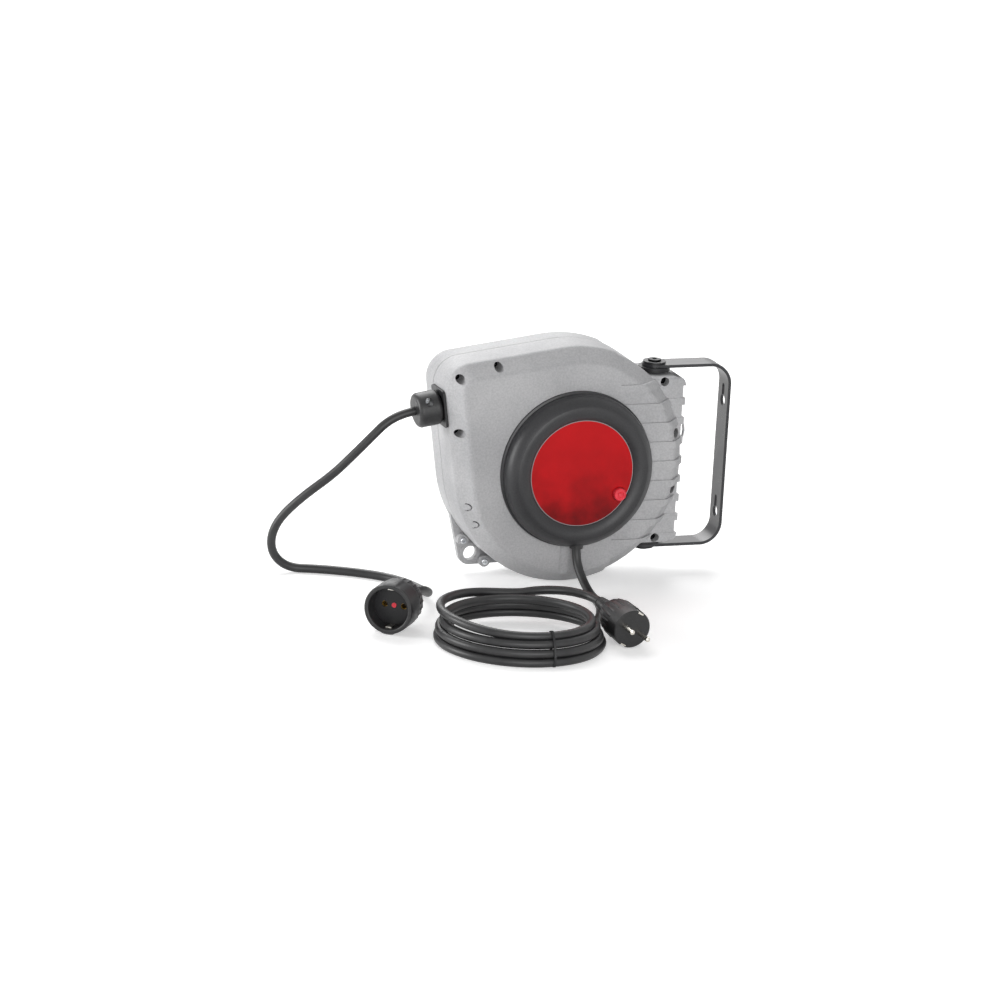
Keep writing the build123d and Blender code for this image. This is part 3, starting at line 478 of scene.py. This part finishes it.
@dataclass
class Case:
    """Two shells with their screws, the anchor eye and the shaft's outer nut."""

    shells: tuple[str, ...] = ("front_shell", "rear_shell", "anchor_eye")
    screws: tuple[str, ...] = ("case_screws",)
    bright: tuple[str, ...] = ("anchor_eye_screws", "drum_shaft", "shaft_nut", "shaft_bridge", "pawl_pin")
    crescents_mm: tuple[tuple[float, float], ...] = ((-274.4, -37.3), (-265.9, -55.0))
    crescent_arc: tuple[float, float] = (-70.0, 108.0)
    crescent_radii: tuple[float, float] = (3.05, 4.15)
    crescent_depths: tuple[float, float] = (-30.7, -29.6)
    crescent_steps: int = 20
    bail_y: float = -19.0
    bail_width: float = 3.2
    bail_thick: float = 1.3

    def build(self) -> None:
        """Mould the small bail between two ribs of the end face, where a tie can be hooked."""
        path = [(-57.0, 18.6), (-53.2, 19.4), (-50.6, 22.0), (-49.8, 27.8), (-50.6, 33.6), (-53.2, 36.2),
                (-57.0, 37.0)]
        points, faces = [], []
        for n, (x, z) in enumerate(path):
            before, after = path[max(n - 1, 0)], path[min(n + 1, len(path) - 1)]
            along = Vector((after[0] - before[0], after[1] - before[1])).normalized()
            for dy, side in ((-1, -1), (1, -1), (1, 1), (-1, 1)):
                points.append(metres(x + along[1] * side * self.bail_thick / 2,
                                     self.bail_y + dy * self.bail_width / 2,
                                     z - along[0] * side * self.bail_thick / 2))
        for n in range(len(path) - 1):
            for k in range(4):
                faces.append((n * 4 + k, n * 4 + (k + 1) % 4, n * 4 + 4 + (k + 1) % 4, n * 4 + 4 + k))
        last = (len(path) - 1) * 4
        faces += [(3, 2, 1, 0), (last, last + 1, last + 2, last + 3)]
        mesh_piece("end_face_bail", points, faces, CASE_GREY)
        # Then set black arcs of painted shade in the two crescent grooves.
        self.shade_arcs()

    def shade_arcs(self) -> None:
        """Black arcs of painted shade in the two crescent grooves, sunk below the bevel, open to the left.
        """
        (front, rear), (inner, outer) = self.crescent_depths, self.crescent_radii
        (start, end), steps = self.crescent_arc, self.crescent_steps
        points, faces = [], []
        for x, z in self.crescents_mm:
            first = len(points)
            for n in range(steps + 1):
                angle = radians(start + (end - start) * n / steps)
                for radius, y in ((inner, front), (outer, front), (outer, rear), (inner, rear)):
                    points.append(metres(x + radius * cos(angle), y, z + radius * sin(angle)))
            for n in range(steps):
                for k in range(4):
                    here = first + n * 4
                    faces.append((here + k, here + (k + 1) % 4, here + 4 + (k + 1) % 4, here + 4 + k))
            last = first + steps * 4
            faces += [(first + 3, first + 2, first + 1, first), (last, last + 1, last + 2, last + 3)]
        # The arcs are painted shade: black pieces set where the crescent grooves are in shade.
        mesh_piece("crescent_painted_shade", points, faces, NYLON_BLACK)

    def dress(self) -> None:
        """Give the mouldings their grain and the fasteners their plating."""
        dress(CASE_GREY, *self.shells)
        dress(OXIDE_BLACK, *self.screws)
        dress(ZINC, *self.bright)


@dataclass
class Cover:
    """Ring cover with the disc, the reset button and the cord's gland."""

    button_mm: Point = (-129.5, -63.7, -22.0)

    def build(self) -> None:
        """Dome the raised centre inside the button's dished face."""
        turned_piece("reset_button_centre", metres(*self.button_mm), Vector((0, -1, 0)),
                     [(-0.4, 2.3), (0.2, 2.3), (0.7, 2.0), (0.95, 1.3), (1.0, 0.5)], RED_BUTTON, segments=40,
                     body="button")

    def dress(self) -> None:
        """Charcoal ring, red disc with painted shade towards its foot and a painted highlight round its rim,
        and a brighter button.
        """
        dress(COVER_BLACK, "ring_cover")
        dress(RED_SHEET, "cover_disc")
        dress(RED_BUTTON, "reset_button")
        dress(NYLON_BLACK, "cutout_switch", "brush_holder")
        dress(SHEATH, "supply_gland")


@dataclass
class Drum:
    """Drum, spring, ratchet and slip rings inside the case."""

    def dress(self) -> None:
        """Give every hidden piece the finish of its real material."""
        dress(DRUM_POLYPROPYLENE, "drum_front_flange", "drum_rear_flange", "drum_hub", "spring_case",
              "spring_case_lid", "ratchet_ring")
        dress(NYLON_BLACK, "slip_ring_carrier")
        dress(BRONZE, "drum_bushes")
        dress(BRASS, "slip_rings", "brushes")
        dress(ZINC, "pawl")
        dress(SPRING_STEEL, "main_spring")
        dress(WOUND, "wound_cord")


@dataclass
class Outlet:
    """Cord mouth with its rollers and the two-part stopper clamped on the cord."""

    def dress(self) -> None:
        """Black mouth and stopper, ivory rollers and bright screws."""
        dress(NYLON_BLACK, "outlet_mouth")
        dress(ACETAL, "upper_roller", "lower_roller")
        dress(ZINC, "roller_pins", "stopper_screws")
        dress(STOPPER_RUBBER, "stopper_front_half", "stopper_rear_half")
        dress(SHEATH, "inner_cord")


@dataclass
class OutputCord:
    """Cord from the stopper to the coupling, which lies on its side with its socket to the front."""

    exit_mm: Point = (-323.77, -8.0, 53.58)
    length: float = 0.47
    turn: float = 50.0
    face_mm: Point = (-402.61, -173.89, -92.0)
    body_mm: float = 46.0
    relief_mm: float = 22.0
    grip_ribs: int = 24
    rib_height: float = 0.8
    pad_half_angle: float = 16.0
    pad_height: float = 1.0
    pad_ends: tuple[float, float] = (2.0, 24.0)
    pad_reach: float = 1.15
    pad_fade: float = 0.3

    def pad(self, angle: float, distance: float) -> float:
        """Flat pads along the top and the bottom of the socket's collar.

        Args:
            angle: Angle round the socket from the top, radians.
            distance: Distance behind the socket's face, mm.

        Returns:
            Extra radius there, mm.
        """
        if not self.pad_ends[0] < distance < self.pad_ends[1]:
            return 0.0
        off = abs((angle + pi / 2) % pi - pi / 2) / radians(self.pad_half_angle)
        return self.pad_height * min(1.0, max(0.0, (self.pad_reach - off) / self.pad_fade))

    def shell(self, face: Vector, back: Vector) -> bpy.types.Object:
        """Full rubber body with a stepped collar and the open socket.

        Args:
            face: Middle of the socket's face.
            back: Unit direction from the face towards the cord.

        Returns:
            The shell.
        """
        stations = [(46, 13), (45, 16.5), (42.5, 19.4), (38, 21.4), (32, 22.4), (25.2, 22.9),
                    (24.6, 23.6), (23.4, 23.9), (20, 24), (12, 24), (3, 24), (1.2, 23.9), (0.3, 23.5),
                    (0, 22.8), (0, 20.8), (0.4, 20), (1.2, 19.6), (33, 19.6)]
        return turned_piece("coupling_shell", face, back, stations, PLUG_RUBBER, segments=144,
                            swell=self.pad, zero=Vector((0, 0, 1)))

    def route(self) -> list[Point]:
        """Control points from the stopper down to the floor and round into the coupling."""
        low = FLOOR_CORD_MM
        return [
            self.exit_mm, (-335.6, -8, 51.6), (-352, -7.5, 43.5), (-364, -5, 30), (-379, 0, 12),
            (-397, 9, -11), (-421, 21, -34), (-439, 34, -58), (-445.5, 39.5, -77), (-443, 43.5, -94),
            (-434, 45, -106), (-421, 44, low), (-402, 38.5, low), (-381, 29, low), (-360, 16.5, low),
            (-341, 0, low), (-328, -21, low), (-322, -45, low), (-323, -67, -110), (-328.5, -85.5, -104),
            (-338, -99.3, -97.5), (-348.5, -111, -93.5), (-358.9, -121.8, -92),
        ]

    def build(self) -> None:
        back = Vector((cos(radians(self.turn)), sin(radians(self.turn)), 0))
        face = metres(*self.face_mm)
        relief = turned_piece("coupling_ribbed_relief", face, back,
                              ribbed_taper(self.body_mm, self.body_mm + self.relief_mm, 9.5, 5.8, 5, 1.1),
                              PLUG_RUBBER)
        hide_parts("coupling_strain_relief")
        grip = turned_piece("coupling_grip_ribs", face, back,
                            [(26.5, 21.8), (27.5, 22.7), (34, 22.3), (38, 21.2), (40, 19.6)], PLUG_RUBBER,
                            segments=self.grip_ribs * POINTS_A_RIB,
                            swell=lambda angle, z: self.rib_height * max(0.0, cos(self.grip_ribs * angle)))
        shell = self.shell(face, back)
        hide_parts("coupling_body")
        cord = cord_curve("output_cord_sheath", self.route(), SHEATH)
        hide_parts("output_cord")

    def dress(self) -> None:
        """Nylon insert, red centre, brass contacts and plated clips."""
        dress(NYLON_BLACK, "coupling_insert")
        dress(BRASS, "coupling_contacts")
        dress(NICKEL, "coupling_earth_clips")
        dress(RED_BUTTON, "coupling_centre_plug")


@dataclass
class SupplyCord:
    """Supply cord: down from the cover's gland, round the tied coil and into the plug."""

    exit_mm: Point = (-167.0, -52.0, -70.0)
    length: float = 2.05
    centre_mm: tuple[float, float] = (-288.0, -221.0)
    first_angle: float = 12.5
    turns: float = 3.84
    points_a_turn: int = 16
    plug_start_mm: Point = (-191.5, -182.5, -92.0)
    plug_face_mm: Point = (-187.0, -254.0, -98.0)
    plug_body_mm: float = 48.0
    grip_ribs: int = 20
    rib_height: float = 0.9
    tie_offset: float = 6.0

    def layers(self) -> list[Point]:
        """Turns gone, radius and height of the coil's stations, mm; later turns lie on earlier ones."""
        return [(0.0, 83, FLOOR_CORD_MM), (0.12, 76.5, FLOOR_CORD_MM), (0.55, 76, FLOOR_CORD_MM),
                (1.0, 75.6, -105.0), (1.15, 75.5, -104.4), (1.55, 75, -104.4), (2.0, 72.5, -97.0),
                (2.15, 72, -96.5), (2.55, 71.5, -96.4), (3.0, 67.2, -90.6), (3.36, 67.3, -89.7),
                (3.5, 71, -85.8), (3.62, 75.8, -85.2), (3.74, 79.3, -87.5), (3.84, 81, -90.5)]

    def station(self, gone: float) -> tuple[float, float]:
        """Place on the coil's section.

        Args:
            gone: Turns gone since the coil's start.

        Returns:
            Radius and height there, mm.
        """
        layers = self.layers()
        for (before, r0, z0), (after, r1, z1) in zip(layers, layers[1:]):
            if gone <= after:
                share = (gone - before) / (after - before)
                return r0 + (r1 - r0) * share, z0 + (z1 - z0) * share
        return layers[-1][1], layers[-1][2]

    def route(self) -> list[Point]:
        """Control points of the whole cord, the coil's turns added by a loop."""
        low = FLOOR_CORD_MM
        drop = [self.exit_mm, (-167, -52.4, -82), (-166, -58, -95), (-164.5, -71, -106), (-164, -89, low),
                (-165.5, -109, low), (-170, -130, low), (-177.5, -150, low), (-187, -169, low),
                (-198, -185, low)]
        widen = 1 / cos(pi / self.points_a_turn)
        coil = []
        for n in range(1, round(self.turns * self.points_a_turn)):
            gone = n / self.points_a_turn
            radius, height = self.station(gone)
            angle = radians(self.first_angle - 360 * gone)
            coil.append((self.centre_mm[0] + radius * widen * cos(angle),
                         self.centre_mm[1] + radius * widen * sin(angle), height))
        tail = [(-261, -145.5, -90.5), (-245, -143, -89.5), (-229, -144.5, -89), (-213, -150, -89),
                (-201.5, -159, -90), (-194, -170, -91), self.plug_start_mm]
        return drop + [(-207, -203, low)] + coil + tail

    def build(self) -> None:
        start, face = metres(*self.plug_start_mm), metres(*self.plug_face_mm)
        axis = (face - start).normalized()
        reach = (face - start).length * 1000
        relief = turned_piece("plug_ribbed_relief", face, axis,
                              ribbed_taper(-reach, -self.plug_body_mm, 5.6, 8.6, 5, 1.0), PLUG_RUBBER)
        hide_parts("plug_strain_relief")
        grip = turned_piece("plug_grip_ribs", face, axis,
                            [(-42, 13.5), (-40.5, 15.2), (-32, 17.3), (-18, 18), (-16, 17.6), (-15, 16.5)],
                            PLUG_RUBBER, segments=self.grip_ribs * POINTS_A_RIB,
                            swell=lambda angle, z: self.rib_height * max(0.0, cos(self.grip_ribs * angle)))
        cord = cord_curve("supply_cord_sheath", self.route(), SHEATH)
        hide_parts("supply_cord_drop", "supply_coil", "supply_cord_tail")
        tie = self.tie()

    def tie(self) -> bpy.types.Object:
        """Flat wire tie drawn tight round the coil's front."""
        x = self.centre_mm[0] + self.tie_offset
        loop = [(81.0, -112.4), (80.2, -104.0), (77.2, -95.8), (73.0, -89.2), (68.6, -84.8),
                (64.0, -86.2), (62.4, -90.6), (66.0, -98.0), (70.0, -105.0), (71.4, -112.6),
                (75.8, -116.6), (79.6, -115.8)]
        half, thick = 1.1, 0.7
        middle_r = sum(r for r, _ in loop) / len(loop)
        middle_z = sum(z for _, z in loop) / len(loop)
        points, faces = [], []
        for r, z in loop:
            outward = Vector((r - middle_r, z - middle_z)).normalized() * thick
            for dx, grow in ((-half, 0), (half, 0), (half, 1), (-half, 1)):
                points.append(metres(x + dx, self.centre_mm[1] - r - outward[0] * grow,
                                     z + outward[1] * grow))
        count = len(loop)
        for n in range(count):
            for k in range(4):
                here, after = n * 4, ((n + 1) % count) * 4
                faces.append((here + k, here + (k + 1) % 4, after + (k + 1) % 4, after + k))
        piece = mesh_piece("coil_wire_tie", points, faces, NYLON_BLACK)
        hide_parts("coil_tie")
        return piece

    def dress(self) -> None:
        """Rubber plug with plated pins and earth strips."""
        dress(PLUG_RUBBER, "plug_body")
        dress(NICKEL, "plug_pins", "plug_earth_strips")


# ---------------------------------------------------------------- studio
@dataclass
class Viewpoint:
    """Long lens from the left front, a little above."""

    azimuth: float = 21.545
    elevation: float = 15.323
    roll: float = -3.523
    distance: float = 7.656
    lens_mm: float = 286.6
    aim: Point = (-0.2413, -0.0407, -0.0314)

    def build(self) -> None:
        """Set the camera up and make it the scene's own."""
        a, e, r = (radians(angle) for angle in (self.azimuth, self.elevation, self.roll))
        level = Vector((cos(a), -sin(a), 0))
        ahead = Vector((sin(a) * cos(e), cos(a) * cos(e), -sin(e)))
        upright = level.cross(ahead)
        right = level * cos(r) - upright * sin(r)
        up = level * sin(r) + upright * cos(r)
        data = bpy.data.cameras.new("viewpoint")
        data.lens = self.lens_mm
        data.sensor_width = 36.0
        data.clip_end = 100.0
        camera = bpy.data.objects.new("viewpoint", data)
        bpy.context.scene.collection.objects.link(camera)
        axes = Matrix((right, up, -ahead)).transposed().to_4x4()
        camera.matrix_world = Matrix.Translation(Vector(self.aim) - ahead * self.distance) @ axes
        bpy.context.scene.camera = camera


@dataclass
class Studio:
    """Pale floor, soft lamps and a white surround."""

    floor_half: float = 12.0
    ambient: float = 0.3
    lift_near: float = 0.42
    lift_far: float = 0.95

    def build(self) -> None:
        """Lay the floor, hang the lamps and light the surround."""
        bpy.context.scene.view_settings.view_transform = "Standard"
        self.floor()
        self.lamp("front_softbox", (-0.12, -1.0, 0.12), 0.74, 1.6)
        self.lamp("top_softbox", (0.1, 0.8, 0.8), 0.95, 1.8)
        self.lamp("side_softbox", (-1.0, 0.25, 0.2), 0.7, 1.0)
        world = bpy.data.worlds.new("studio")
        bpy.context.scene.world = world
        world.use_nodes = True
        tree = world.node_tree
        tree.nodes.clear()
        strength = add_node(tree, "ShaderNodeMapRange", {"Value": self.seen(tree), "To Min": self.ambient,
                                                         "To Max": 1.0}).outputs["Result"]
        light = add_node(tree, "ShaderNodeBackground", {"Color": (1, 1, 1, 1), "Strength": strength})
        add_node(tree, "ShaderNodeOutputWorld", {"Surface": light.outputs[0]})

    def seen(self, tree: bpy.types.NodeTree) -> bpy.types.NodeSocket:
        """Tell the rays that show a surface from those that light it.

        Args:
            tree: Node tree that gets the nodes.

        Returns:
            One where a ray is the camera's, a reflection or seen through glass.
        """
        path = add_node(tree, "ShaderNodeLightPath").outputs
        sum_two = add_node(tree, "ShaderNodeMath", {0: path["Is Camera Ray"], 1: path["Is Glossy Ray"]},
                           operation="ADD").outputs[0]
        return add_node(tree, "ShaderNodeMath", {0: sum_two, 1: path["Is Transmission Ray"]},
                        operation="ADD", use_clamp=True).outputs[0]

    def floor(self) -> None:
        """Pale floor that shows white where it is fully lit and keeps the shadow."""
        h, z = self.floor_half, FLOOR_MM / 1000
        mesh = bpy.data.meshes.new("floor")
        mesh.from_pydata([(-h, -h, z), (h, -h, z), (h, h, z), (-h, h, z)], [], [(0, 1, 2, 3)])
        paint = bpy.data.materials.new("emulsion paint, rolled, white")
        paint.use_nodes = True
        tree = paint.node_tree
        tree.nodes.clear()
        matt = add_node(tree, "ShaderNodeBsdfDiffuse", {"Color": linear("#EDEDED")})
        place = add_node(tree, "ShaderNodeTexCoord").outputs["Object"]
        away = add_node(tree, "ShaderNodeVectorMath", {0: place}, operation="LENGTH").outputs["Value"]
        rise = add_node(tree, "ShaderNodeMapRange", {
            "Value": away, "From Min": 0.6, "From Max": 2.5, "To Min": self.lift_near,
            "To Max": self.lift_far}).outputs[0]
        lift = add_node(tree, "ShaderNodeMath", {0: self.seen(tree), 1: rise}, operation="MULTIPLY")
        glow = add_node(tree, "ShaderNodeEmission", {"Color": (1, 1, 1, 1), "Strength": lift.outputs[0]})
        both = add_node(tree, "ShaderNodeAddShader", {0: matt.outputs[0], 1: glow.outputs[0]})
        add_node(tree, "ShaderNodeOutputMaterial", {"Surface": both.outputs[0]})
        mesh.materials.append(paint)
        floor = bpy.data.objects.new("floor", mesh)
        bpy.context.scene.collection.objects.link(floor)

    def lamp(self, name: str, towards: Point, level: float, size: float, distance: float = 2.2) -> None:
        """Hang a square soft lamp that faces the reel.

        Args:
            name: Name of the lamp.
            towards: Direction of the lamp from the reel.
            level: Brightness of a white surface that faces it.
            size: Side of the lamp.
            distance: Distance from the reel.
        """
        data = bpy.data.lights.new(name, "AREA")
        data.size = size
        data.energy = level * pi ** 2 * distance ** 2
        lamp = bpy.data.objects.new(name, data)
        direction = Vector(towards).normalized()
        lamp.location = Vector(Viewpoint.aim) + direction * distance
        lamp.rotation_euler = direction.to_track_quat("Z", "Y").to_euler()
        bpy.context.scene.collection.objects.link(lamp)


def main() -> None:
    """Build the view, the cords, the studio and every sub-assembly in order."""
    logging.basicConfig(level=logging.INFO)
    Viewpoint().build()
    output, supply = OutputCord(), SupplyCord()
    case, cover = Case(), Cover()
    for assembly in (output, supply, case, cover, Studio()):
        assembly.build()
    for assembly in (output, supply, Bracket(), case, cover, Drum(), Outlet()):
        assembly.dress()


if __name__ == "__main__":
    main()
